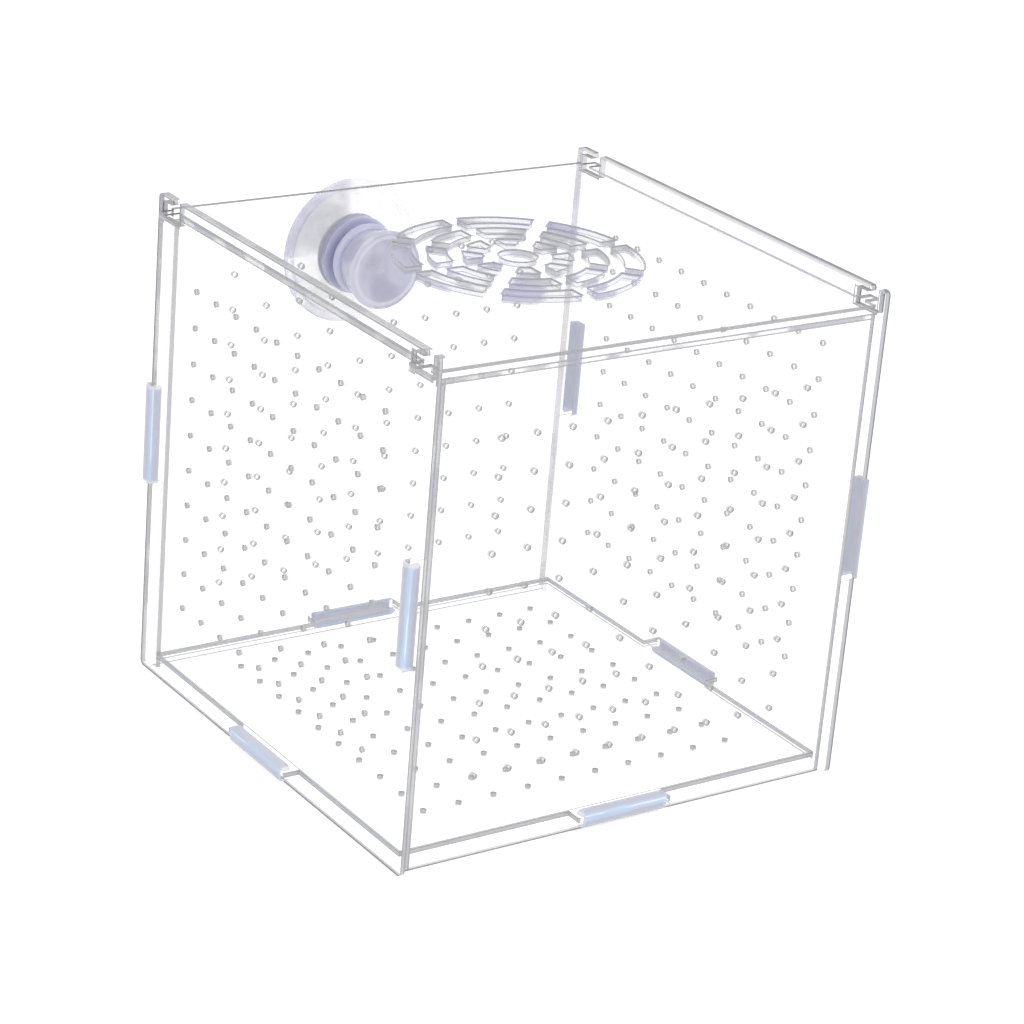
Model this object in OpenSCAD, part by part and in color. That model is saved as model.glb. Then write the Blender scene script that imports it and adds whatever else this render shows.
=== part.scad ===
// Fish breeding box: six clear sheets that slot together, eight blue strips that clamp their tabs,
// a sliding lid with a round grille and a suction cup that holds the box to an aquarium's glass.
// The origin is the middle of the box at its lower edges. The suction cup is on the +Y side.

/* [Box] */
// Width over the two side walls
box_w = 150; // [120:1:220]
// Depth of the side walls, front edge to back edge
box_d = 150; // [120:1:220]
// Height of the side walls
box_h = 150; // [120:1:220]
// Thickness of every sheet
sheet = 2.5; // [2:0.1:3.5]
// How far the side walls stand out past the front and back walls
side_overhang = 2.5; // [2:0.1:5]
// Height of the bottom panel's underside above the lower edges
base_lift = 2.5; // [2:0.1:6]
// Depth of the lid's top below the side walls' top edges
lid_drop = 4.5; // [3.5:0.1:8]
// Radius of the side walls' corners
corner_r = 1.5; // [0.5:0.1:2.5]

/* [Water holes] */
// Diameter of the small water holes
hole_d = 1.8; // [1:0.1:3]
// Distance between holes across a wall
wall_pitch_w = 11.4; // [8:0.1:20]
// Distance between holes up a wall
wall_pitch_h = 11; // [8:0.1:20]
// Distance between holes across the bottom panel
base_pitch_w = 11.8; // [8:0.1:20]
// Distance between holes of the bottom panel, front to back
base_pitch_d = 11.5; // [8:0.1:20]
// Least distance from a hole to the edge of its field
hole_margin = 18; // [16:0.5:30]

/* [Tabs and clips] */
// Length of each tab along its edge
tab_len = 32; // [20:0.5:50]
// How far a tab stands out of the sheet that it passes through
tab_out = 2.4; // [1.5:0.1:3]
// Clearance of a tab in its slot, on each side
slot_gap = 0.15; // [0.05:0.05:0.4]
// Clearance between a sheet's end and the face that it butts against
butt_gap = 0.1; // [0.05:0.05:0.3]
// Length of a clip
clip_len = 31; // [15:0.5:45]
// Thickness of a clip's two legs
clip_leg = 1.3; // [0.8:0.1:2]
// Thickness of a clip's back
clip_back = 1.1; // [0.8:0.1:2]
// Clearance between a clip and the tab that it clamps
clip_gap = 0.05; // [0:0.05:0.2]
// Radius of an upright clip's outer end corners
clip_end_r = 1.6; // [0.5:0.1:2]
// Radius of an upright clip's end corners, seen from outside
clip_tip_r = 0.8; // [0.3:0.1:2]
// Radius of a lower clip's outer end corners, seen from above
low_end_r = 3.2; // [0.5:0.1:3.4]
// Radius of a lower clip's end corners, seen from outside
low_tip_r = 2.2; // [0.5:0.1:2.4]

/* [Lid] */
// Clearance between the lid and each side wall
lid_gap = 0.3; // [0.2:0.1:1]
// Clearance between the lid and the edges that it lies on
lid_seat = 0.1; // [0.05:0.05:0.3]
// Width of the lid's ears
ear_w = 3.3; // [2:0.1:6]
// How far an ear stands out of its side wall
ear_out = 2; // [0.5:0.1:4]
// Width of the post between a side wall's edge and its notch
post_w = 2.3; // [1.5:0.1:5]
// Travel of the lid from its resting place forward to the stop
lid_travel = 5.1; // [4.6:0.1:12]
// Clearance of an ear in its notch's mouth
mouth_gap = 0.6; // [0.3:0.1:1.5]
// Thickness of the nose over a notch
nose_t = 2; // [1.5:0.1:2.5]
// Distance from the lid's resting place back to its stop
lid_play = 1.6; // [0.5:0.1:2.5]
// Radius of the feeding hole
feed_r = 5.5; // [3:0.1:9]
// Width of the grille's webs between its rings
grille_web = 4.8; // [3:0.1:6]
// Radial width of the grille's slots
grille_slot = 5.4; // [3:0.1:6]
// Number of rings of slots
grille_rings = 3; // [1:1:4]
// Number of bars across the grille
grille_bars = 4; // [2:1:6]
// Width of the bars
grille_bar_w = 5.2; // [3:0.1:6]

/* [Suction cup] */
// Distance of the cup's axis from the middle, towards the left
cup_x = 7.5; // [0:0.5:30]
// Depth of the cup's axis below the side walls' top edges
cup_down = 26; // [22:0.5:60]
// Radius of the cup's rim
cup_r = 22.5; // [18:0.5:30]
// Distance from the rim's plane to the back wall
cup_h = 6; // [4:0.1:10]
// Depth of the hollow in the cup
cup_hollow = 3.2; // [2:0.1:3.8]
// Width of the flat ring at the rim
rim_w = 1.2; // [0.8:0.1:2]
// Thickness of the bead round the rim
bead_t = 1.7; // [1.2:0.1:2.5]
// Width of the bead
bead_w = 2.4; // [1.6:0.1:4]
// Radius of the seat on the back wall's outer face
boss_r = 12; // [8:0.1:14]
// Radius of the neck that passes through the back wall
neck_r = 5.5; // [3:0.1:7]
// Clearance of the neck in its hole
neck_gap = 0.2; // [0.1:0.05:0.5]
// Clearance between the cup's shoulders and the back wall
seat_gap = 0.05; // [0.05:0.05:0.2]
// Radius of the collar on the inside of the box
collar_r = 11.2; // [8:0.1:14]
// Thickness of the collar
collar_t = 3.6; // [2:0.1:5]
// Radius of the waist between the collar and the head
waist_r = 9.6; // [6:0.1:10]
// Radius of the head's front edge
head_r = 12.2; // [11:0.1:16]
// Radius of the head's rounded lip
lip_r = 0.8; // [0.4:0.1:1.2]
// Length of the collar and head together
head_len = 13.5; // [10:0.5:20]
// Radius of the dish in the head's front
dish_r = 10; // [6:0.1:12]
// Depth of the dish
dish_depth = 1.8; // [0.5:0.1:4]

/* [Hidden] */
$fn = 48;
// Overrun of every cut past the faces it goes through
cut = 1;
// Width between the side walls
inner_w = box_w - 2 * sheet;
// Outer faces of the front and back walls
wall_y = box_d / 2 - side_overhang;
// Depth between the front and back walls
inner_d = 2 * (wall_y - sheet);
// Heights of the bottom panel's middle and top
base_mid = base_lift + sheet / 2;
base_top = base_lift + sheet;
// Height of the front and back walls and of the notches' floors
wall_top = box_h - lid_drop - sheet;
// Height of the lid's underside
lid_z = wall_top + lid_seat;
// Height of the middle of the upright tabs
tab_z = (base_mid + box_h) / 2;
// Middle of the front and back walls' thickness
tab_y = wall_y - sheet / 2;
// Notch sizes along the side wall
mouth_w = ear_w + mouth_gap;
notch_len = lid_travel + ear_w + lid_play;
notch_front = -box_d / 2 + post_w;
notch_back = box_d / 2 - post_w - notch_len;
// Clip sizes
clip_w = sheet + 2 * (clip_gap + clip_leg);
groove_depth = tab_out + clip_gap;
clip_h = groove_depth + clip_back;
// Height of the cup's axis, and the radii of its spherical faces
cup_z = box_h - cup_down;
bell_r = (cup_r * cup_r + cup_h * cup_h) / (2 * cup_h);
hollow_edge = cup_r - rim_w;
hollow_r = (hollow_edge * hollow_edge + cup_hollow * cup_hollow) / (2 * cup_hollow);
dish_ball = (dish_r * dish_r + dish_depth * dish_depth) / (2 * dish_depth);
// Finishes
clear_sheet = [0.9, 0.93, 0.96, 0.35];
blue_strip = [0.36, 0.5, 0.86, 0.85];
violet_rubber = [0.62, 0.6, 0.8, 0.8];

// Number of holes at a pitch that fit a field with its margins
function fit_count(span, pitch) = floor((span - 2 * hole_margin) / pitch) + 1;

// Places of count holes, evenly spaced about a middle
function spread(count, pitch, middle = 0) =
    [for (i = [0:count - 1]) middle + (i - (count - 1) / 2) * pitch];

// Flat rectangle with rounded corners, centred on its own middle
module round_rect(w, h, r) {
    union() {
        square([w - 2 * r, h], center = true);
        square([w, h - 2 * r], center = true);
        for (x = [-1, 1], y = [-1, 1]) {
            translate([x * (w / 2 - r), y * (h / 2 - r)]) circle(r);
        }
    }
}

// Slot that takes a tab, drawn flat
module slot_cut(along, across) {
    square([along + 2 * slot_gap, across + 2 * slot_gap], center = true);
}

// Grid of small round holes through a sheet, drawn as pins to cut with
module hole_pins(us, vs, keep_out = [0, 0], keep_r = 0) {
    for (u = us, v = vs) {
        if (norm([u, v] - keep_out) > keep_r) {
            translate([u, v, -cut]) cylinder(d = hole_d, h = sheet + 2 * cut);
        }
    }
}

// Hooked notch in the top edge, drawn flat: the mouth is at its front end, under it lies the floor
module notch_cut() {
    roof = lid_drop + sheet - nose_t;
    tip = nose_t / 2;
    union() {
        square([notch_len, roof]);
        square([mouth_w, roof + nose_t + cut]);
        difference() {
            translate([0, roof]) square([mouth_w + tip, nose_t + cut]);
            translate([mouth_w + tip, roof + tip]) circle(tip);
            translate([mouth_w + tip, roof]) square([tip, nose_t + 2 * cut]);
        }
    }
}

// Side wall lying in the plane of Y and Z, its inner face at x = 0, its outer face at x = sheet
module side_wall() {
    rows = spread(fit_count(box_h - base_top, wall_pitch_h), wall_pitch_h, (base_top + box_h) / 2);
    columns = spread(fit_count(2 * wall_y, wall_pitch_w), wall_pitch_w);
    rotate([90, 0, 90]) difference() {
        linear_extrude(sheet) difference() {
            translate([0, box_h / 2]) round_rect(box_d, box_h, corner_r);
            for (y = [-tab_y, tab_y]) {
                translate([y, tab_z]) slot_cut(sheet, tab_len);
            }
            translate([0, base_mid]) slot_cut(tab_len, sheet);
            translate([notch_front, wall_top]) notch_cut();
            translate([notch_back, wall_top]) notch_cut();
        }
        hole_pins(columns, rows);
    }
}

// Front or back wall standing in the plane of X and Z, its outer face at y = 0
module end_wall(keep_out = [0, 0], keep_r = 0) {
    rows = spread(fit_count(wall_top - base_top, wall_pitch_h), wall_pitch_h, (base_top + wall_top) / 2);
    columns = spread(fit_count(inner_w, wall_pitch_w), wall_pitch_w);
    reach = box_w + 2 * tab_out;
    rotate([90, 0, 0]) mirror([0, 0, 1]) difference() {
        linear_extrude(sheet) difference() {
            union() {
                translate([-inner_w / 2 + butt_gap, 0]) square([inner_w - 2 * butt_gap, wall_top]);
                translate([-reach / 2, tab_z - tab_len / 2]) square([reach, tab_len]);
            }
            translate([0, base_mid]) slot_cut(tab_len, sheet);
        }
        hole_pins(columns, rows, keep_out, keep_r);
    }
}

module left_wall() {
    color(clear_sheet) mirror([1, 0, 0]) translate([box_w / 2 - sheet, 0, 0]) side_wall();
}

module right_wall() {
    color(clear_sheet) translate([box_w / 2 - sheet, 0, 0]) side_wall();
}

module front_wall() {
    color(clear_sheet) translate([0, -wall_y, 0]) end_wall();
}

module back_wall() {
    color(clear_sheet) difference() {
        mirror([0, 1, 0]) translate([0, -wall_y, 0]) end_wall([-cup_x, cup_z], boss_r + hole_d / 2);
        translate([-cup_x, wall_y + cut, cup_z]) rotate([90, 0, 0]) {
            cylinder(r = neck_r + neck_gap, h = sheet + 2 * cut);
        }
    }
}

module bottom_panel() {
    places_x = spread(fit_count(inner_w, base_pitch_w), base_pitch_w);
    places_y = spread(fit_count(inner_d, base_pitch_d), base_pitch_d);
    reach_x = box_w + 2 * tab_out;
    reach_y = 2 * (wall_y + tab_out);
    color(clear_sheet) translate([0, 0, base_lift]) difference() {
        linear_extrude(sheet) union() {
            square([inner_w - 2 * butt_gap, inner_d - 2 * butt_gap], center = true);
            square([reach_x, tab_len], center = true);
            square([tab_len, reach_y], center = true);
        }
        hole_pins(places_x, places_y);
    }
}

// Round grille: rings of arc slots split by straight bars, with the feeding hole in its middle
module grille_cut() {
    step = grille_slot + grille_web;
    cylinder(r = feed_r, h = sheet + 2 * cut);
    difference() {
        for (i = [0:grille_rings - 1]) {
            inside = feed_r + grille_web + i * step;
            difference() {
                cylinder(r = inside + grille_slot, h = sheet + 2 * cut);
                translate([0, 0, -cut]) cylinder(r = inside, h = sheet + 4 * cut);
            }
        }
        for (i = [0:grille_bars - 1]) {
            rotate(i * 180 / grille_bars) translate([-box_w / 2, -grille_bar_w / 2, -cut]) {
                cube([box_w, grille_bar_w, sheet + 4 * cut]);
            }
        }
    }
}

module lid() {
    plate_w = inner_w - 2 * lid_gap;
    ear_reach = box_w + 2 * ear_out;
    color(clear_sheet) translate([0, 0, lid_z]) difference() {
        linear_extrude(sheet) union() {
            square([plate_w, 2 * wall_y], center = true);
            for (y = [notch_front, notch_back]) {
                translate([-ear_reach / 2, y + lid_travel]) square([ear_reach, ear_w]);
            }
        }
        translate([0, 0, -cut]) grille_cut();
    }
}

// Slit strip standing along Z, its legs on the plane y = 0 and its round back towards -Y. Its end
// corners are rounded by end_r seen along X and by tip_r seen along Y.
module clip(end_r, tip_r) {
    half = clip_w / 2;
    intersection() {
        translate([0, 0, -clip_len / 2]) linear_extrude(clip_len) difference() {
            intersection() {
                union() {
                    translate([-half, half - clip_h]) square([clip_w, clip_h]);
                    translate([0, half - clip_h]) circle(half);
                }
                translate([-half, -clip_h]) square([clip_w, clip_h]);
            }
            translate([-sheet / 2 - clip_gap, -groove_depth]) {
                square([sheet + 2 * clip_gap, groove_depth + cut]);
            }
        }
        rotate([0, 90, 0]) translate([0, 0, -clip_w]) linear_extrude(2 * clip_w) {
            translate([0, end_r]) round_rect(clip_len, 2 * (clip_h + end_r), end_r);
        }
        translate([0, cut, 0]) rotate([90, 0, 0]) linear_extrude(clip_h + 2 * cut) {
            round_rect(clip_w, clip_len, tip_r);
        }
    }
}

// Clip on an upright edge: side is -1 at the left and 1 at the right, end is -1 in front, 1 behind
module upright_clip(side, end) {
    color(blue_strip) translate([side * box_w / 2, end * tab_y, tab_z]) rotate(side * 90) {
        clip(clip_end_r, clip_tip_r);
    }
}

// Clip on a lower edge of the box, turned by angle about the box's middle, at its wall's distance
module lower_clip(angle, distance) {
    color(blue_strip) rotate(angle) translate([0, -distance, base_mid]) rotate([0, 90, 0]) {
        clip(low_end_r, low_tip_r);
    }
}

// Half section of the cup, X outwards from the axis and Y from the rim's plane to the inside
module cup_section() {
    wall_in = cup_h + sheet;
    waist_at = wall_in + seat_gap + collar_t;
    front = wall_in + head_len;
    intersection() {
        union() {
            difference() {
                union() {
                    intersection() {
                        translate([0, cup_h - bell_r]) circle(bell_r, $fn = 180);
                        square([cup_r, cup_h]);
                    }
                    translate([cup_r - bead_w, 0]) square([bead_w, bead_t]);
                    square([boss_r, cup_h - seat_gap]);
                }
                translate([0, cup_hollow - hollow_r]) circle(hollow_r, $fn = 180);
            }
            translate([0, cup_hollow]) square([neck_r, wall_in]);
            translate([0, wall_in + seat_gap]) square([collar_r - collar_t / 2, collar_t]);
            translate([collar_r - collar_t / 2, waist_at - collar_t / 2]) circle(collar_t / 2);
            difference() {
                union() {
                    polygon([[0, waist_at - lip_r], [waist_r, waist_at - lip_r],
                        [head_r, front - lip_r], [head_r - lip_r, front], [0, front]]);
                    translate([head_r - lip_r, front - lip_r]) circle(lip_r);
                }
                translate([0, front - dish_depth + dish_ball]) circle(dish_ball, $fn = 180);
            }
        }
        square([cup_r, front]);
    }
}

module suction_cup() {
    color(violet_rubber) translate([-cup_x, wall_y + cup_h, cup_z]) rotate([90, 0, 0]) {
        rotate_extrude($fn = 96) cup_section();
    }
}

left_wall();
right_wall();
front_wall();
back_wall();
bottom_panel();
lid();
upright_clip(-1, -1);  // clip_left_front
upright_clip(-1, 1);  // clip_left_back
upright_clip(1, -1);  // clip_right_front
upright_clip(1, 1);  // clip_right_back
lower_clip(0, wall_y);  // clip_bottom_front
lower_clip(180, wall_y);  // clip_bottom_back
lower_clip(-90, box_w / 2);  // clip_bottom_left
lower_clip(90, box_w / 2);  // clip_bottom_right
suction_cup();
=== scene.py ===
import math
import bpy
from mathutils import Matrix, Vector


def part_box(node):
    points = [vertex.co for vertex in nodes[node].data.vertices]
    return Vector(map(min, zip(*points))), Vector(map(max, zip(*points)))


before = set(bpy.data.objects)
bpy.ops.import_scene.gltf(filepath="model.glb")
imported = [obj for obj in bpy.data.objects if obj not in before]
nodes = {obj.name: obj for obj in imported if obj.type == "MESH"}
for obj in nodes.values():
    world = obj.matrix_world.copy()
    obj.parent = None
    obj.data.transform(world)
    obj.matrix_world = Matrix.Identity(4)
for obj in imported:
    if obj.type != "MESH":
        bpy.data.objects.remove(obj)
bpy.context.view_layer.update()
print("frame loaded:", len(nodes), "pieces")

mm = 0.001
axes = "xyz"


def addNode(tree, kind, operation=None):
    n = tree.nodes.new(kind)
    if operation:
        n.operation = operation
    return n


# a new material: its nodes, its shader, where on the piece a point lies in mm, and which way it faces
def newLook(name):
    material = bpy.data.materials.new(name)
    material.use_nodes = True
    tree = material.node_tree
    tree.nodes.clear()
    coords = addNode(tree, "ShaderNodeTexCoord")
    inMm = addNode(tree, "ShaderNodeVectorMath", "SCALE")
    inMm.inputs["Scale"].default_value = 1 / mm
    tree.links.new(coords.outputs["Object"], inMm.inputs[0])
    look = {"material": material, "tree": tree, "place": inMm.outputs[0],
            "skin": addNode(tree, "ShaderNodeBsdfPrincipled")}
    look["x"], look["y"], look["z"] = parts(look, inMm.outputs[0])
    surface = addNode(tree, "ShaderNodeNewGeometry")
    look["nx"], look["ny"], look["nz"] = parts(look, surface.outputs["True Normal"])
    return look


def plug(look, value, socket):
    if isinstance(value, bpy.types.NodeSocket):
        look["tree"].links.new(value, socket)
    else:
        socket.default_value = value


def parts(look, vector):
    n = addNode(look["tree"], "ShaderNodeSeparateXYZ")
    plug(look, vector, n.inputs[0])
    return n.outputs[0], n.outputs[1], n.outputs[2]


def calc(look, what, *values):
    n = addNode(look["tree"], "ShaderNodeMath", what)
    for i, value in enumerate(values):
        plug(look, value, n.inputs[i])
    return n.outputs[0]


def plus(look, value, more):
    return calc(look, "ADD", value, more)


def minus(look, value, less):
    return calc(look, "SUBTRACT", value, less)


def unsigned(look, value):
    return calc(look, "ABSOLUTE", value)


def isBelow(look, value, limit):
    return calc(look, "LESS_THAN", value, limit)


# the same step over any number of values
def chain(look, what, values):
    found = values[0]
    for value in values[1:]:
        found = calc(look, what, found, value)
    return found


def most(look, *values):
    return chain(look, "MAXIMUM", values)


def least(look, *values):
    return chain(look, "MINIMUM", values)


def times(look, *values):
    return chain(look, "MULTIPLY", values)


# top below low, floor above high, smooth between
def fade(look, value, low, high, top=1.0, floor=0.0):
    n = addNode(look["tree"], "ShaderNodeMapRange")
    n.interpolation_type = "SMOOTHSTEP"
    plug(look, value, n.inputs["Value"])
    n.inputs["From Min"].default_value = low
    n.inputs["From Max"].default_value = high
    n.inputs["To Min"].default_value = top
    n.inputs["To Max"].default_value = floor
    return n.outputs["Result"]


# 0 below low, top above high
def rise(look, value, low, high, top=1.0):
    return fade(look, value, low, high, 0.0, top)


# top in a soft band about a middle, 0 outside it
def bump(look, value, middle, half, soft, top=1.0):
    return fade(look, unsigned(look, minus(look, value, middle)), half, half + soft, top)


# soft patches of a size in mm
def cloud(look, size, detail):
    n = addNode(look["tree"], "ShaderNodeTexNoise")
    n.inputs["Scale"].default_value = 1 / size
    n.inputs["Detail"].default_value = detail
    plug(look, look["place"], n.inputs["Vector"])
    return n.outputs["Fac"]


def blendColours(look, amount, first, second):
    n = addNode(look["tree"], "ShaderNodeMix")
    n.data_type = "RGBA"
    plug(look, amount, n.inputs["Factor"])
    for value, socket in ((first, n.inputs[6]), (second, n.inputs[7])):     # the Mix node's colours
        plug(look, value if isinstance(value, bpy.types.NodeSocket) else (*value, 1), socket)
    return n.outputs[2]


# shows the skin by cover, and clear air for the rest
def seeThrough(look, cover):
    tree = look["tree"]
    clear = addNode(tree, "ShaderNodeBsdfTransparent")
    mixed = addNode(tree, "ShaderNodeMixShader")
    output = addNode(tree, "ShaderNodeOutputMaterial")
    plug(look, cover, mixed.inputs["Fac"])
    tree.links.new(clear.outputs[0], mixed.inputs[1])
    tree.links.new(look["skin"].outputs[0], mixed.inputs[2])
    tree.links.new(mixed.outputs[0], output.inputs["Surface"])


# puts a finished look on a piece
def dress(node, look):
    piece = nodes[node]
    piece.data.materials.clear()
    piece.data.materials.append(look["material"])
    return piece


# 1 where the surface lies square to an axis, within about 45 degrees
def squareTo(look, axis):
    return calc(look, "GREATER_THAN", unsigned(look, look["n" + axis]), 0.7)


# how far outside a rectangle of the sheet a point lies, under 0 inside it
def fromRect(look, u, v, rect):
    u0, u1, v0, v1 = rect
    du = minus(look, unsigned(look, minus(look, u, (u0 + u1) / 2)), (u1 - u0) / 2)
    dv = minus(look, unsigned(look, minus(look, v, (v0 + v1) / 2)), (v1 - v0) / 2)
    return most(look, du, dv)


def fromPoint(look, u, v, at=(0, 0)):
    du = minus(look, u, at[0]) if at[0] else u
    dv = minus(look, v, at[1]) if at[1] else v
    return calc(look, "SQRT", plus(look, times(look, du, du), times(look, dv, dv)))


# distance to the middle of the nearest hole of a grid
def fromGrid(look, u, v, grid):
    off = []
    for value, middle, pitch, count in zip((u, v), grid["middle"], grid["pitch"], grid["count"]):
        half = (count - 1) / 2
        along = plus(look, calc(look, "DIVIDE", minus(look, value, middle), pitch), half)
        nearest = least(look, most(look, calc(look, "ROUND", along), 0), count - 1)
        off.append(times(look, minus(look, along, nearest), pitch))
    return fromPoint(look, *off)


# distance outside the lid's slots: rings split by straight bars, and the feeding hole
def fromGrille(look, u, v, grille):
    r = fromPoint(look, u, v)
    ring = minus(look, r, grille["firstRing"])
    ring = calc(look, "WRAP", ring, -grille["step"] / 2, grille["step"] / 2)
    ring = minus(look, unsigned(look, ring), grille["slot"] / 2)
    sector = math.pi / grille["bars"]
    turn = calc(look, "WRAP", calc(look, "ARCTAN2", v, u), -sector, sector)
    bar = unsigned(look, times(look, r, calc(look, "SINE", turn)))
    slots = most(look, ring, minus(look, grille["bar"] / 2, bar), minus(look, r, grille["outer"]),
                 minus(look, grille["feed"] + grille["land"], r))
    return least(look, slots, minus(look, r, grille["feed"]))


print("acrylic sheets")
# lengths in mm; a pair is where something begins to fade and where it ends
acrylic = {
    "dark": (0.24, 0.24, 0.26),         # arrises that end the box against the background
    "line": (0.41, 0.41, 0.43),         # the other arrises
    "fill": (0.55, 0.55, 0.57),         # cut edges between them
    "lavender": (0.50, 0.50, 0.64),
    "lavenderLine": (0.40, 0.39, 0.52),
    "hole": (0.50, 0.50, 0.52),
    "cover": 0.97,
    "soft": 0.1,                        # how softly a mark ends
    "nearDepth": 0.6,                   # what counts as the near face
    "rim": (0.0, 0.1),                  # a hole's rim on the face beside it
    "portRim": (0.2, 0.4),
    "slotRim": (0.42, 0.60),
    "holeReach": (0.25, 0.35),          # how far out a hole's side is looked for
    "slotReach": (0.3, 0.4),
    "holeBlend": 0.1,                   # share of hole marks at which their tone is full
    "bareSoft": 0.15,
    "cutOff": 0.1,                      # how sharply a place is put out of reach
    "patchSize": 14,
    "patches": (0.42, 0.58),
    "roughPatches": (0.35, 0.65),
    "tintSize": 34,                     # the lavender tint along the edges
    "tints": (0.52, 0.64),
    "tintMost": 0.4,
    "grilleTintSize": 20,               # and the stronger one of the grille
    "grilleTints": (0.45, 0.60),
    "grilleTintLeast": 0.25,
    "grilleReach": (38, 40),
    "roughness": 0.25,
    "bend": 1.49,                       # how acrylic bends light
    "shine": 0.3,
}

# where the sheets end, from the box's middle or its foot
edge = {
    "wallTop": 150,
    "wallEnd": 75,
    "endTop": 143,
    "endSide": 72.4,                    # also the bottom sheet's sides
    "baseEnd": 69.9,
    "lidSide": 77,
    "lidEnd": 72.5,
}
# the notches in the side sheets' tops: lowest and highest along, then lowest and highest up
notch = {
    "from": 142.0,
    "throats": (62.7, 72.7, 143, 148),
    "frontMouth": (-72.7, -68.8, 143, 153),
    "backMouth": (62.7, 66.6, 143, 153),
}
# tabs and slots under the strips stay clear, so that a strip shows whole from inside
covered = {
    "uprightSlots": (69.4, 73.1, 60.5, 93.3),
    "lowSlot": (-16.3, 16.3, 2.1, 5.4),
    "endTabs": (74.95, 78, 61.4, 92.4),
    "baseSideTabs": (74.95, 78, -15.3, 15.3),
    "baseEndTabs": (-15.3, 15.3, 72.45, 76),
}
farOff = 50.0                           # added to a distance to put a place out of every mark's reach

# a mark: its kind, where it begins and ends in mm, its strength, and how much patches add if they do
# these run down a hole's or a slot's side, from the near face
shallowMarks = [("hole", 0, 0.8, 0.97), ("hole", 0.8, 1.2, 0.45)]
deepMarks = [("hole", 0, 0.9, 0.97), ("hole", 0.9, 1.5, 0.6)]
slotMarks = [("line", 0, 0.5, 1.0), ("fill", 0.5, 1.4, 0.4, 0.5),
             ("line", 1.4, 1.8, 0.75, 0.2), ("fill", 1.8, 2.5, 0.2, 0.5)]
portMarks = [("line", 0, 0.4, 0.9)]


# adds marks to the totals of their kinds, at a distance in from a sheet's side or edge
def addMarks(look, totals, inside, marks, where, patchy):
    soft = acrylic["soft"]
    for kind, begin, end, strength, *extra in marks:
        mark = fade(look, inside, end - soft, end + soft)
        if begin > 0:
            mark = times(look, mark, rise(look, inside, begin - soft, begin + soft))
        share = fade(look, patchy, 0.0, 1.0, strength, strength + extra[0]) if extra else strength
        totals[kind] = most(look, times(look, mark, share, where), totals[kind])


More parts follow.
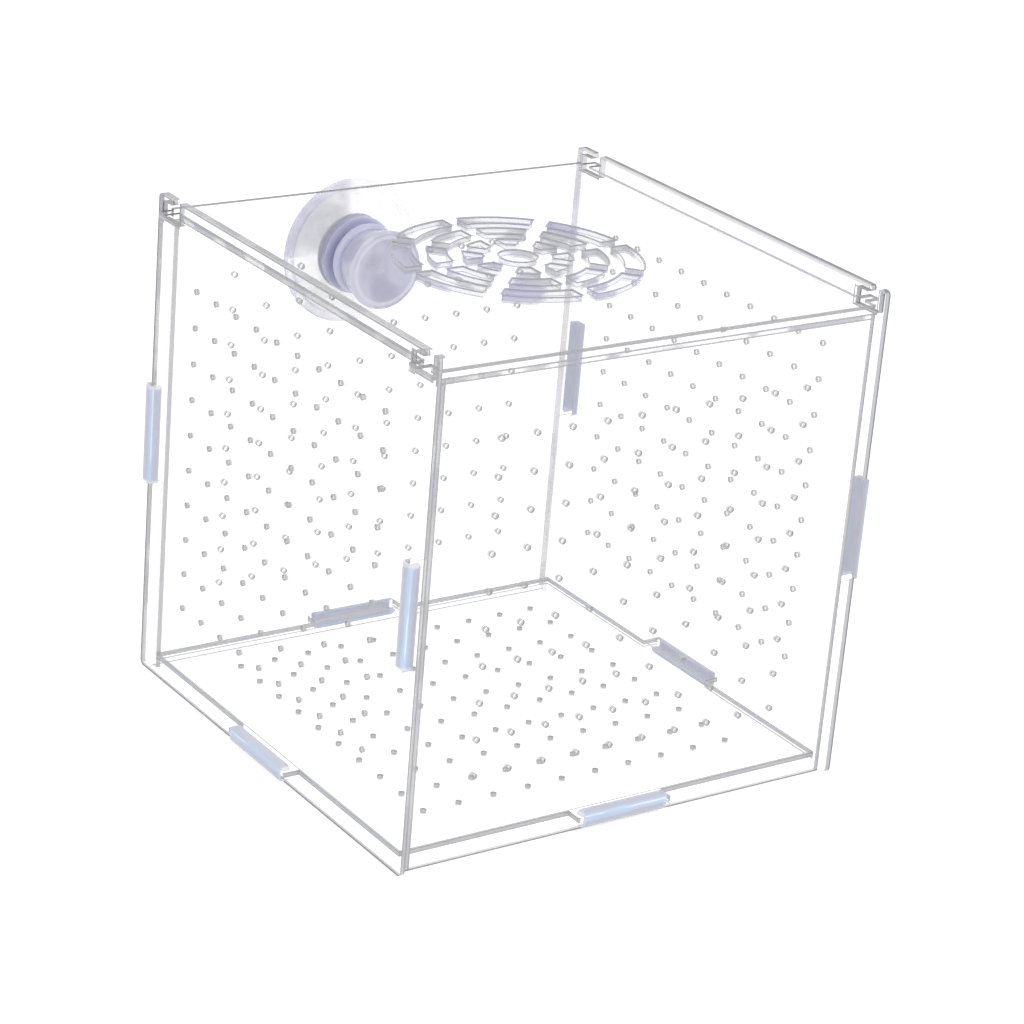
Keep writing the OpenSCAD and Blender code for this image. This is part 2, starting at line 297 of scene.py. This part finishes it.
# one clear sheet. axis is the way through it, near the side whose rims show most: -1 for the low
# one, 1 for the high one. cuts gives the marks on cut edges that face each way, measured from the
# sheet's low side. faces gives the marks on the near face, by how far in they are from an edge.
# bare gives the places that a strip covers. behind is where a strip shows through the sheet's
# front edge, and hides its marks
def acrylicLook(name, node, axis, near, cuts, faces, bare=None, grid=None, grille=None, port=None,
                behind=None):
    look = newLook(name)
    low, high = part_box(node)
    through = look[axes[axis]]
    u, v = [look[key] for i, key in enumerate(axes) if i != axis]
    fromLow = minus(look, through, low[axis] / mm)
    depth = fromLow if near < 0 else minus(look, high[axis] / mm, through)
    onFace = squareTo(look, axes[axis])
    onNear = times(look, onFace, isBelow(look, depth, acrylic["nearDepth"]))
    onCut = minus(look, 1.0, onFace)
    patch = cloud(look, acrylic["patchSize"], 1)
    patchy = rise(look, patch, *acrylic["patches"])
    totals = {"dark": 0.0, "line": 0.0, "fill": 0.0, "hole": 0.0}
    for inside, marks in faces(look, u, v):
        addMarks(look, totals, inside, marks, onNear, patchy)
    for way, marks in cuts.items():
        # an edge is told by which half of the sheet it lies in, because a normal turns round when
        # it is seen from inside
        k = axes.index(way[1])
        past = minus(look, look[way[1]], (low[k] + high[k]) / 2 / mm)
        there = calc(look, "LESS_THAN" if way[0] == "-" else "GREATER_THAN", past, 0.0)
        addMarks(look, totals, fromLow, marks, times(look, squareTo(look, way[1]), there), patchy)
    inHoles = []
    if grid:
        hole = minus(look, fromGrid(look, u, v, grid), grid["radius"])
        if port:
            # no water hole lies under the cup's seat
            seat = port["seat"]
            toPort = fromPoint(look, u, v, port["at"])
            hole = plus(look, hole, fade(look, toPort, seat, seat + acrylic["cutOff"], farOff))
        inHoles.append((hole, acrylic["holeReach"], acrylic["rim"], grid["marks"]))
    if port:
        hole = minus(look, fromPoint(look, u, v, port["at"]), port["radius"])
        inHoles.append((hole, acrylic["holeReach"], acrylic["portRim"], portMarks))
    if grille:
        outside = minus(look, fromPoint(look, u, v), grille["outer"])
        inHoles.append((outside, acrylic["slotReach"], None, slotMarks))
        rim = fade(look, fromGrille(look, u, v, grille), *acrylic["slotRim"])
        totals["line"] = most(look, times(look, rim, onNear), totals["line"])
    for toHole, reach, rimFade, marks in inHoles:
        # a hole's side has its own marks, not the cut edges' ones
        here = times(look, fade(look, toHole, *reach), onCut)
        away = minus(look, 1.0, here)
        totals = {kind: times(look, total, away) for kind, total in totals.items()}
        addMarks(look, totals, depth, marks, here, patchy)
        if rimFade:
            rim = times(look, fade(look, toHole, *rimFade), onNear)
            totals["line"] = most(look, rim, totals["line"])
    cover = times(look, most(look, *totals.values()), acrylic["cover"])
    for toBare in bare(look, u, v) if bare else []:
        cover = times(look, cover, rise(look, toBare, 0.0, acrylic["bareSoft"]))
    if behind:
        atStrip = times(look, bump(look, look["z"], behind["middle"], behind["half"], behind["soft"]),
                        fade(look, look["y"], *behind["frontPart"]))
        cover = times(look, cover, minus(look, 1.0, atStrip))
    # the edges pick up a lavender tint here and there
    tint = rise(look, cloud(look, acrylic["tintSize"], 0), *acrylic["tints"], acrylic["tintMost"])
    fill = blendColours(look, tint, acrylic["fill"], acrylic["lavender"])
    line = acrylic["line"]
    if grille:
        mottle = fade(look, cloud(look, acrylic["grilleTintSize"], 0), *acrylic["grilleTints"],
                      acrylic["grilleTintLeast"], 1.0)
        inGrille = times(look, fade(look, fromPoint(look, u, v), *acrylic["grilleReach"]), mottle)
        fill = blendColours(look, inGrille, fill, acrylic["lavender"])
        line = blendColours(look, inGrille, line, acrylic["lavenderLine"])
    tone = blendColours(look, totals["line"], fill, line)
    tone = blendColours(look, totals["dark"], tone, acrylic["dark"])
    tone = blendColours(look, rise(look, totals["hole"], 0.0, acrylic["holeBlend"]), tone, acrylic["hole"])
    skin = look["skin"]
    plug(look, tone, skin.inputs["Base Color"])
    rough = acrylic["roughness"]
    plug(look, fade(look, patch, *acrylic["roughPatches"], rough, rough * 2), skin.inputs["Roughness"])
    skin.inputs["IOR"].default_value = acrylic["bend"]
    skin.inputs["Specular IOR Level"].default_value = acrylic["shine"]
    seeThrough(look, cover)
    dress(node, look).visible_shadow = False        # a clear sheet lets the light by


# how far in from an edge on the high side, and from its twin on the low side
def inFrom(look, value, highEdge):
    return minus(look, highEdge, value)


def inFromLow(look, value, highEdge):
    return plus(look, value, highEdge)


thinLine = [("line", 0, 0.42, 1.0)]
boldLine = [("line", 0, 0.62, 1.0)]


def besideNotches(look, y, z):
    return least(look, fromRect(look, unsigned(look, y), z, notch["throats"]),
                 fromRect(look, y, z, notch["frontMouth"]), fromRect(look, y, z, notch["backMouth"]))


def leftFaces(look, y, z):
    corner = least(look, inFrom(look, z, edge["wallTop"]), inFromLow(look, y, edge["wallEnd"]))
    # the corner's bold line is for the height of the notches only
    corner = plus(look, corner, fade(look, z, notch["from"], notch["from"] + acrylic["cutOff"], farOff))
    return [(least(look, besideNotches(look, y, z), corner), boldLine),
            (inFrom(look, y, edge["wallEnd"]), [("dark", 0, 0.5, 1.0), ("fill", 0, 1.6, 0.5, 0.15)]),
            (z, [("dark", 0, 0.5, 1.0), ("fill", 0, 1.2, 0.8)])]


def rightFaces(look, y, z):
    return [(besideNotches(look, y, z), thinLine),
            # painted shade: a soft grey band on the inner face under the top edge
            (inFrom(look, z, edge["wallTop"]), [("fill", 0, 0.7, 0.6)]),
            (inFrom(look, y, edge["wallEnd"]), [("fill", 0, 2.2, 0.16, 0.1)]),
            (z, [("line", 0, 0.3, 0.35)])]


# the front sheet shows a broad painted band under its top and beside its ends: a painted reflection of the
# joint
def frontFaces(look, x, z):
    return [(z, [("dark", 0, 0.4, 1.0), ("fill", 0, 1.0, 0.65)]),
            (inFrom(look, z, edge["endTop"]),
             [("fill", 0, 1.7, 0.15, 0.8), ("line", 0, 0.42, 0.95), ("line", 1.3, 1.75, 0.95)]),
            (inFromLow(look, x, edge["endSide"]),
             [("fill", 0.05, 1.8, 0.85, 0.15), ("line", 0.05, 0.4, 0.9), ("line", 1.4, 1.85, 0.9)]),
            (inFrom(look, x, edge["endSide"]), [("fill", 0.05, 1.5, 0.97), ("line", 0.05, 0.5, 0.9)])]


def backFaces(look, x, z):
    return [(inFromLow(look, x, edge["endSide"]), [("fill", 0.05, 1.6, 0.95)]),
            (inFrom(look, x, edge["endSide"]), [("fill", 0.05, 2.2, 0.22, 0.1)])]


def baseFaces(look, x, y):
    nearLine = [("line", 0.05, 0.42, 1.0)]
    return [(inFromLow(look, x, edge["endSide"]), nearLine),
            (inFromLow(look, y, edge["baseEnd"]), nearLine),
            (inFrom(look, x, edge["endSide"]), [("line", 0.05, 0.4, 0.9), ("fill", 0.05, 0.9, 0.5, 0.2)]),
            (inFrom(look, y, edge["baseEnd"]), [("line", 0.05, 0.5, 0.9), ("fill", 0.05, 1.3, 0.5, 0.2)])]


def lidFaces(look, x, y):
    return [(inFrom(look, unsigned(look, x), edge["lidSide"]), thinLine),
            (inFromLow(look, y, edge["lidEnd"]), [("line", 0, 0.25, 1.0)]),
            (inFrom(look, y, edge["lidEnd"]), [("dark", 0, 0.55, 1.0), ("fill", 0, 1.5, 0.3, 0.15)])]


def sideBare(look, y, z):
    return [fromRect(look, unsigned(look, y), z, covered["uprightSlots"]),
            fromRect(look, y, z, covered["lowSlot"])]


def endBare(look, x, z):
    return [fromRect(look, unsigned(look, x), z, covered["endTabs"]),
            fromRect(look, x, z, covered["lowSlot"])]


def baseBare(look, x, y):
    return [fromRect(look, unsigned(look, x), y, covered["baseSideTabs"]),
            fromRect(look, x, unsigned(look, y), covered["baseEndTabs"])]


# the grids of water holes: their middle, the distance from hole to hole and how many, both ways
sideHoles = {"middle": (0, 77.5), "pitch": (11.4, 11.0), "count": (10, 10), "radius": 0.9,
             "marks": shallowMarks}
endHoles = {"middle": (0, 74), "pitch": (11.4, 11.0), "count": (10, 10), "radius": 0.9,
            "marks": deepMarks}
baseHoles = {"middle": (0, 0), "pitch": (11.8, 11.5), "count": (10, 10), "radius": 0.9,
             "marks": shallowMarks}
lidGrille = {"firstRing": 13.0, "step": 10.2, "slot": 5.4, "bars": 8, "bar": 5.2, "outer": 36.1,
             "feed": 5.5, "land": 2}    # land is the ring left round the feeding hole
cupPort = {"at": (-7.5, 124), "radius": 5.7, "seat": 12.9}
frontStripBehind = {"middle": 78.2, "half": 15.3, "soft": 0.3, "frontPart": (-73, -73 + 0.2)}

leftCuts = {
    "+z": [("line", 0.1, 2.4, 0.9, 0.1)],
    "-z": [("line", 0, 0.6, 0.95)],
    "-y": [("fill", 0, 1.45, 0.75, 0.25), ("line", 0, 0.45, 1.0), ("line", 1.05, 1.45, 1.0),
           ("line", 2.3, 2.5, 0.4)],
    "+y": [("dark", 0, 0.5, 1.0), ("fill", 0, 1.7, 0.75, 0.2)],
}
rightCuts = {
    "+z": [("fill", 0, 2.5, 0.95), ("dark", 0.9, 2.5, 1.0)],
    "-z": [("line", 2.1, 2.5, 0.35)],
    "-y": [("fill", 0.65, 2.5, 0.97), ("dark", 1.95, 2.5, 1.0)],
    "+y": [("fill", 0.2, 2.5, 0.6, 0.1)],
}
frontCuts = {
    "+z": [("line", 0, 0.3, 0.9)],
    "-z": [("line", 0, 0.5, 0.6)],
    "+x": [("line", 0, 0.3, 0.5)],
    "-x": [("line", 0, 0.3, 0.5)],
}
backCuts = {
    "-x": [("fill", 0, 1.5, 0.3)],
    "-z": [("line", 0, 0.4, 0.3), ("line", 1.9, 2.5, 0.9)],
}
baseNearCut = [("fill", 0.9, 2.5, 0.97), ("line", 2.0, 2.5, 1.0), ("line", 0.9, 1.3, 0.9)]
baseCuts = {
    "-y": baseNearCut,
    "-x": baseNearCut,
    "+x": [("fill", 0.9, 2.5, 0.97), ("fill", 0, 0.5, 0.9)],
    "+y": [("fill", 0.9, 2.5, 0.97), ("fill", 0, 0.5, 0.7, 0.1)],
}
lidCuts = {
    "-y": [("line", 1.45, 2.5, 0.95)],
    "+y": [("dark", 1.9, 2.5, 1.0)],
    "-x": [("fill", 0, 2.5, 0.6, 0.4), ("line", 1.5, 2.5, 0.9, 0.1), ("line", 0, 0.5, 0.9)],
    "+x": [("fill", 0.8, 1.7, 0.12, 0.2), ("fill", 1.7, 2.5, 0.95)],
}
acrylicLook("clear side sheet left", "left_wall", 0, -1, leftCuts, leftFaces, sideBare, sideHoles)
acrylicLook("clear side sheet right", "right_wall", 0, -1, rightCuts, rightFaces, sideBare, sideHoles,
            behind=frontStripBehind)
acrylicLook("clear front sheet", "front_wall", 1, -1, frontCuts, frontFaces, endBare, endHoles)
acrylicLook("clear back sheet", "back_wall", 1, -1, backCuts, backFaces, endBare, endHoles, port=cupPort)
acrylicLook("clear bottom sheet", "bottom_panel", 2, 1, baseCuts, baseFaces, baseBare, baseHoles)
acrylicLook("clear lid sheet", "lid", 2, 1, lidCuts, lidFaces, grille=lidGrille)


# the gloss and the inner light that the vinyl and the rubber share
softPlastic = {"coat": 0.4, "coatRoughness": 0.15, "reach": 0.004}


def softGloss(skin, innerLight):
    skin.inputs["Coat Weight"].default_value = softPlastic["coat"]
    skin.inputs["Coat Roughness"].default_value = softPlastic["coatRoughness"]
    skin.inputs["Subsurface Weight"].default_value = innerLight
    skin.inputs["Subsurface Radius"].default_value = (1.0, 1.0, 1.0)
    skin.inputs["Subsurface Scale"].default_value = softPlastic["reach"]


print("vinyl strips")
# lengths in mm but for lift. bands of painted light and shade lie round the section: 0 at the far
# edge of the strip's back, 0.5 at its near edge and 1 at the foot of its near side
strip = {
    "lavender": (0.46, 0.46, 0.55),
    # painted light and shade: slate is a painted shade, sky a painted lit blue band, gleam a painted
    # highlight
    "slate": (0.44, 0.49, 0.60),
    "sky": (0.46, 0.59, 0.86),
    "gleam": (0.80, 0.88, 0.98),
    # painted shade: the dark line at the strip's foot and along its ends and back edge
    "outlineShade": (0.44, 0.44, 0.52),
    "tip": (0.66, 0.66, 0.74),
    "halfLength": 15.5,
    "halfWidth": 2.6,
    "height": 3.55,
    "underside": 0.1,
    "grooveHalf": 1.35,
    "grooveTop": 2.6,
    "streaksAlong": 0.08,               # streaks in a mm
    "streaksAcross": 0.8,
    "wave": 0.35,                       # how far the streaks bend the bands
    "slateFrom": (0.15, 0.40),
    "slateTo": (0.15, 0.35),            # past the sky band
    "litBand": (0.05, 0.12),            # half its width, and how softly it ends
    "gleamPast": 0.04,
    "gleamBand": (0.015, 0.04),
    "gleamStreaks": (0.42, 0.56),
    "tipFade": (0.5, 1.6),
    "footShade": (0.3, 0.7),
    "endLine": (0.25, 0.5),
    "endLineShare": 0.7,
    "backLine": (0.03, 0.07),
    "backLineShare": 0.8,
    "lineMost": 0.8,
    "endClear": (0.3, 1.5),
    "endCover": 0.15,                   # how much clearer the ends are
    "cover": 0.97,
    "roughStreaks": (0.3, 0.7),
    "roughness": 0.28,
    "roughnessMore": 0.15,
    "innerLight": 0.7,                  # how much light runs through the soft vinyl
    "lift": 0.00003,                    # metres, keeps the strip's foot off the sheet's own face
}


# along is the strip's length and its middle, across its width and its middle, lit the side that
# carries the painted brighter blue, out the wall that it stands on, glow how much painted light it
# carries, the number after glow where its painted lit blue band lies. inward is for a strip that shows
# from inside the box
def stripLook(name, node, along, across, lit, out, glow, litBandAt, inward=False):
    look = newLook(name)
    alongMiddle = unsigned(look, minus(look, look[along[0]], along[1]))
    toEnd = minus(look, strip["halfLength"], alongMiddle)
    side = calc(look, "DIVIDE", minus(look, look[across[0]], across[1]), strip["halfWidth"] * lit)
    off = times(look, minus(look, look[out[0]], out[1]), 1.0 if out[1] > 0 else -1.0)
    upSide = minus(look, 1.0, calc(look, "DIVIDE", off, strip["height"]))
    around = plus(look, times(look, plus(look, side, 1.0), 0.25), times(look, upSide, 0.5))
    streak = addNode(look["tree"], "ShaderNodeTexNoise")
    stretch = addNode(look["tree"], "ShaderNodeVectorMath", "MULTIPLY")
    stretch.inputs[1].default_value = [strip["streaksAlong"] if key == along[0] else strip["streaksAcross"]
                                       for key in axes]
    plug(look, look["place"], stretch.inputs[0])
    plug(look, stretch.outputs[0], streak.inputs["Vector"])
    streak.inputs["Scale"].default_value = 1.0
    run = streak.outputs["Fac"]
    wavy = plus(look, around, times(look, minus(look, run, 0.5), strip["wave"]))
    # painted shade and light round the section: the slate shade, the lit blue band, then the white painted
    # highlight
    tone = blendColours(look, rise(look, wavy, *strip["slateFrom"]), strip["lavender"], strip["slate"])
    slateTo = [litBandAt + past for past in strip["slateTo"]]
    tone = blendColours(look, rise(look, wavy, *slateTo), tone, strip["lavender"])
    tone = blendColours(look, bump(look, wavy, litBandAt, *strip["litBand"], glow), tone, strip["sky"])
    gleam = times(look, bump(look, around, litBandAt + strip["gleamPast"], *strip["gleamBand"]),
                  rise(look, run, *strip["gleamStreaks"], glow))
    tone = blendColours(look, gleam, tone, strip["gleam"])
    if not inward:
        tone = blendColours(look, fade(look, toEnd, *strip["tipFade"]), tone, strip["tip"])
    # the underside and the groove let the eye through, so that it shows whole from inside
    under = times(look, squareTo(look, out[0]), isBelow(look, off, strip["underside"]))
    inGroove = times(look, isBelow(look, unsigned(look, side), strip["grooveHalf"] / strip["halfWidth"]),
                     isBelow(look, off, strip["grooveTop"]))
    inner = most(look, under, inGroove)
    # painted shade: darker where the strip meets the wall, and along its ends and back edge
    line = most(look, fade(look, off, *strip["footShade"]),
                times(look, fade(look, toEnd, *strip["endLine"]), strip["endLineShare"]),
                times(look, fade(look, around, *strip["backLine"]), strip["backLineShare"]))
    tone = blendColours(look, times(look, line, strip["lineMost"]), tone, strip["outlineShade"])
    skin = look["skin"]
    plug(look, tone, skin.inputs["Base Color"])
    rough = strip["roughness"]
    plug(look, fade(look, run, *strip["roughStreaks"], rough, rough + strip["roughnessMore"]),
         skin.inputs["Roughness"])
    softGloss(skin, 0.0 if inward else strip["innerLight"])
    cover = fade(look, toEnd, *strip["endClear"], strip["cover"] - strip["endCover"], strip["cover"])
    seeThrough(look, times(look, cover, minus(look, 1.0, inner)))
    piece = dress(node, look)
    # the vinyl lets light in from outside, so its hollow isn't dark
    piece.visible_diffuse = False
    piece.visible_shadow = not inward
    ease = piece.modifiers.new("ease", "DISPLACE")
    ease.strength = -strip["lift"]
    ease.mid_level = 0


# each strip's share of painted light in its lit blue band and highlight: the four that show from outside
# are bluer
glows = {"left front": 1.0, "left back": 0.6, "right front": 0.15, "right back": 0.3,
         "lower left": 0.5, "lower front": 0.8, "lower right": 0.1, "lower back": 0.4}
upright = {"middle": 76.875, "litBandAt": 0.55}
lower = {"middle": 3.75, "litBandAt": 0.42}
# the outer faces that they stand on, and the middles of the sheets whose tabs they clamp
standsOn = {"left": -75, "right": 75, "front": -72.5, "back": 72.5}
sheetMiddle = {"front": -71.25, "back": 71.25}

for sideName in ("left", "right"):
    x = standsOn[sideName]
    for endName, y in sheetMiddle.items():
        place = sideName + " " + endName
        stripLook("blue strip " + place, "clip_" + sideName + "_" + endName, ("z", upright["middle"]),
                  ("y", y), -1, ("x", x), glows[place], upright["litBandAt"], inward=x > 0)
for name, along, out in (("left", "y", "x"), ("right", "y", "x"), ("front", "x", "y"), ("back", "x", "y")):
    place = "lower " + name
    stripLook("blue strip " + place, "clip_bottom_" + name, (along, 0), ("z", lower["middle"]), 1,
              (out, standsOn[name]), glows[place], lower["litBandAt"], inward=standsOn[name] > 0)

print("suction cup")
# lengths in mm, angles in radians round the axis; depth is measured from the rim's plane
cup = {
    "axis": (-7.5, 124),
    "rimPlane": 78.5,
    "rimRadius": 22.5,
    "beadWidth": 2.4,
    "bead": (0.2, 0.4),                 # half its width, and how softly it ends
    "beadShare": 0.9,
    "rimLine": (0.35, 0.75),
    "bellTone": (0.50, 0.50, 0.56),
    "bellPale": (0.72, 0.72, 0.78),
    "bellBlend": (0.15, 0.4),
    "rimTone": (0.46, 0.45, 0.68),
    "rimShows": (1.2, 2.4),             # the rim shows best on its left
    "rimLeast": 0.4,
    "rimCover": 0.5,
    "upperShade": (2.4, 0.1, 1.3, 0.34),    # its angle, half its width, how softly it ends, its most
    "lowerShade": (-2.3, 0.2, 1.1, 0.15),
    "shadeDrift": 1.2,
    "mottleSize": 5,
    "mottle": (0.35, 0.65, 0.10, 0.20),
    "cloudSize": 9,
    "clouds": (0.36, 0.6),
    "headTone": (0.50, 0.50, 0.62),
    "headPale": (0.62, 0.62, 0.75),
    "headFrom": (6.0, 6.4),
    "bossRadius": (11.9, 12.1),
    # painted light: the neck is paler, to make up for the shade that falls in it
    "neckLitTone": (0.58, 0.58, 0.76),
    "neckTo": (12.5, 15.0),
    "neckMost": 0.85,
    # painted highlight: a pale ring on the head's front face
    "ringHighlight": (0.74, 0.74, 0.80),
    "ringFrom": (20.5, 20.9),
    "ring": (10.4, 0.3, 0.5),           # its radius, half its width, how softly it ends
    "ringMost": 0.7,
    "headCover": 0.94,
    "innerLight": 0.6,
    "roughClouds": (0.35, 0.65),
    "roughness": 0.2,
    "roughnessMore": 0.12,
}


def cupLook():
    look = newLook("violet soft rubber")
    r = fromPoint(look, look["x"], look["z"], cup["axis"])
    depth = minus(look, cup["rimPlane"], look["y"])
    turn = calc(look, "ARCTAN2", minus(look, look["z"], cup["axis"][1]),
                minus(look, look["x"], cup["axis"][0]))
    soft = cloud(look, cup["cloudSize"], 2)
    drift = plus(look, turn, times(look, minus(look, soft, 0.5), cup["shadeDrift"]))
    # the thin bell is clear but for a painted reflection, a broad dark shade at its upper left, and a
    # fainter painted shade below
    shade = most(look, bump(look, drift, *cup["upperShade"]), bump(look, drift, *cup["lowerShade"]))
    shade = plus(look, shade, fade(look, cloud(look, cup["mottleSize"], 2), *cup["mottle"]))
    bellTone = blendColours(look, fade(look, shade, *cup["bellBlend"]), cup["bellTone"], cup["bellPale"])
    headTone = blendColours(look, fade(look, soft, *cup["clouds"]), cup["headTone"], cup["headPale"])
    onHead = rise(look, depth, *cup["headFrom"])
    # painted highlight: a pale ring on the head's front face
    ring = times(look, rise(look, depth, *cup["ringFrom"]), bump(look, r, *cup["ring"]))
    headTone = blendColours(look, times(look, ring, cup["ringMost"]), headTone, cup["ringHighlight"])
    # painted light: the neck is paler, to make up for the shade that falls in it under the head
    onNeck = fade(look, depth, *cup["neckTo"], cup["neckMost"])
    headTone = blendColours(look, onNeck, headTone, cup["neckLitTone"])
    solid = most(look, onHead, fade(look, r, *cup["bossRadius"]))
    toRim = minus(look, cup["rimRadius"], r)
    bead = times(look, bump(look, toRim, cup["beadWidth"], *cup["bead"]), cup["beadShare"])
    rim = most(look, fade(look, toRim, *cup["rimLine"]), bead)
    leftward = fade(look, unsigned(look, turn), *cup["rimShows"], cup["rimLeast"], 1.0)
    rim = times(look, rim, minus(look, 1.0, onHead), leftward)
    tone = blendColours(look, rim, bellTone, cup["rimTone"])
    tone = blendColours(look, solid, tone, headTone)
    skin = look["skin"]
    plug(look, tone, skin.inputs["Base Color"])
    rough = cup["roughness"]
    plug(look, fade(look, soft, *cup["roughClouds"], rough, rough + cup["roughnessMore"]),
         skin.inputs["Roughness"])
    softGloss(skin, cup["innerLight"])
    seeThrough(look, most(look, times(look, solid, cup["headCover"]), shade,
                          times(look, rim, cup["rimCover"])))
    dress("suction_cup", look)


cupLook()

print("floor, light and camera")
scene = bpy.context.scene
scene.view_settings.view_transform = "Standard"
# a look through the box crosses many clear sheets
scene.cycles.transparent_max_bounces = 64
scene.cycles.max_bounces = 6
scene.cycles.diffuse_bounces = 2
scene.cycles.glossy_bounces = 2

# metres and watts
studio = {
    "floorHalf": 6.0,
    "floorDrop": 0.0003,
    "floorTone": (0.90, 0.90, 0.90, 1),
    "floorLift": 0.30,                  # the floor's own light, for the eye and for reflections only
    "skyTone": (1, 1, 1, 1),
    "skyLight": 0.78,
    "skySeen": 1.0,
    "lampAim": (0, 0, 0.075),
}
lamps = {
    "key softbox": {"place": (0.35, -0.75, 0.95), "size": (0.7, 0.5), "watts": 3.2},
    "fill softbox": {"place": (-0.95, -0.15, 0.55), "size": (0.6, 0.6), "watts": 1.4},
    "back strip": {"place": (0.1, 0.8, 0.8), "size": (0.9, 0.2), "watts": 1.2},
}


# 1 where the eye sees it, straight, in a reflection or through something clear
def seenShare(tree):
    path = addNode(tree, "ShaderNodeLightPath")
    seen = path.outputs["Is Camera Ray"]
    for ray in ("Is Glossy Ray", "Is Transmission Ray"):
        either = addNode(tree, "ShaderNodeMath", "MAXIMUM")
        tree.links.new(seen, either.inputs[0])
        tree.links.new(path.outputs[ray], either.inputs[1])
        seen = either.outputs[0]
    return seen


floorMesh = bpy.data.meshes.new("studio floor")
h, drop = studio["floorHalf"], -studio["floorDrop"]
floorMesh.from_pydata([(-h, -h, drop), (h, -h, drop), (h, h, drop), (-h, h, drop)], [], [(0, 1, 2, 3)])
floor = bpy.data.objects.new("studio_floor", floorMesh)
scene.collection.objects.link(floor)
floorLook = bpy.data.materials.new("pale studio floor")
floorLook.use_nodes = True
tree = floorLook.node_tree
tree.nodes.clear()
paint = addNode(tree, "ShaderNodeBsdfDiffuse")
paint.inputs["Color"].default_value = studio["floorTone"]
glow = addNode(tree, "ShaderNodeEmission")
lift = addNode(tree, "ShaderNodeMath", "MULTIPLY")
lift.inputs[1].default_value = studio["floorLift"]
joined = addNode(tree, "ShaderNodeAddShader")
surface = addNode(tree, "ShaderNodeOutputMaterial")
tree.links.new(seenShare(tree), lift.inputs[0])
tree.links.new(lift.outputs[0], glow.inputs["Strength"])
tree.links.new(paint.outputs[0], joined.inputs[0])
tree.links.new(glow.outputs[0], joined.inputs[1])
tree.links.new(joined.outputs[0], surface.inputs["Surface"])
floorMesh.materials.append(floorLook)

world = bpy.data.worlds.new("studio world")
scene.world = world
world.use_nodes = True
tree = world.node_tree
tree.nodes.clear()
plain, white = addNode(tree, "ShaderNodeBackground"), addNode(tree, "ShaderNodeBackground")
for light, strength in ((plain, studio["skyLight"]), (white, studio["skySeen"])):
    light.inputs["Color"].default_value = studio["skyTone"]
    light.inputs["Strength"].default_value = strength
either = addNode(tree, "ShaderNodeMixShader")
sky = addNode(tree, "ShaderNodeOutputWorld")
tree.links.new(seenShare(tree), either.inputs["Fac"])
tree.links.new(plain.outputs[0], either.inputs[1])
tree.links.new(white.outputs[0], either.inputs[2])
tree.links.new(either.outputs[0], sky.inputs["Surface"])


def softLamp(name, place, size, watts):
    lamp = bpy.data.lights.new(name, "AREA")
    lamp.shape = "RECTANGLE"
    lamp.size, lamp.size_y = size
    lamp.energy = watts
    holder = bpy.data.objects.new(name, lamp)
    holder.location = place
    holder.rotation_mode = "QUATERNION"
    holder.rotation_quaternion = (Vector(studio["lampAim"]) - Vector(place)).to_track_quat("-Z", "Y")
    scene.collection.objects.link(holder)


for name, lamp in lamps.items():
    softLamp(name, lamp["place"], lamp["size"], lamp["watts"])

# metres, degrees, and the lens and its sensor in mm
view = {
    "place": (-0.51772, -0.73018, 0.43105),
    "azimuth": -35.63,
    "elevation": 22.13,
    "roll": 4.92,
    "lens": 115.92,
    "sensor": 36.0,
    "clip": (0.02, 40),
}
a, e, r = (math.radians(view[key]) for key in ("azimuth", "elevation", "roll"))
back = Vector((math.sin(a) * math.cos(e), -math.cos(a) * math.cos(e), math.sin(e)))
right = Vector((math.cos(a), math.sin(a), 0))
up = back.cross(right)
camRight = right * math.cos(r) + up * math.sin(r)
camUp = up * math.cos(r) - right * math.sin(r)
camData = bpy.data.cameras.new("studio camera")
camData.lens = view["lens"]
camData.sensor_width = view["sensor"]
camData.sensor_fit = "HORIZONTAL"
camData.clip_start, camData.clip_end = view["clip"]
camera = bpy.data.objects.new("studio camera", camData)
turned = Matrix((camRight, camUp, back)).transposed().to_4x4()
camera.matrix_world = Matrix.Translation(view["place"]) @ turned
scene.collection.objects.link(camera)
scene.camera = camera
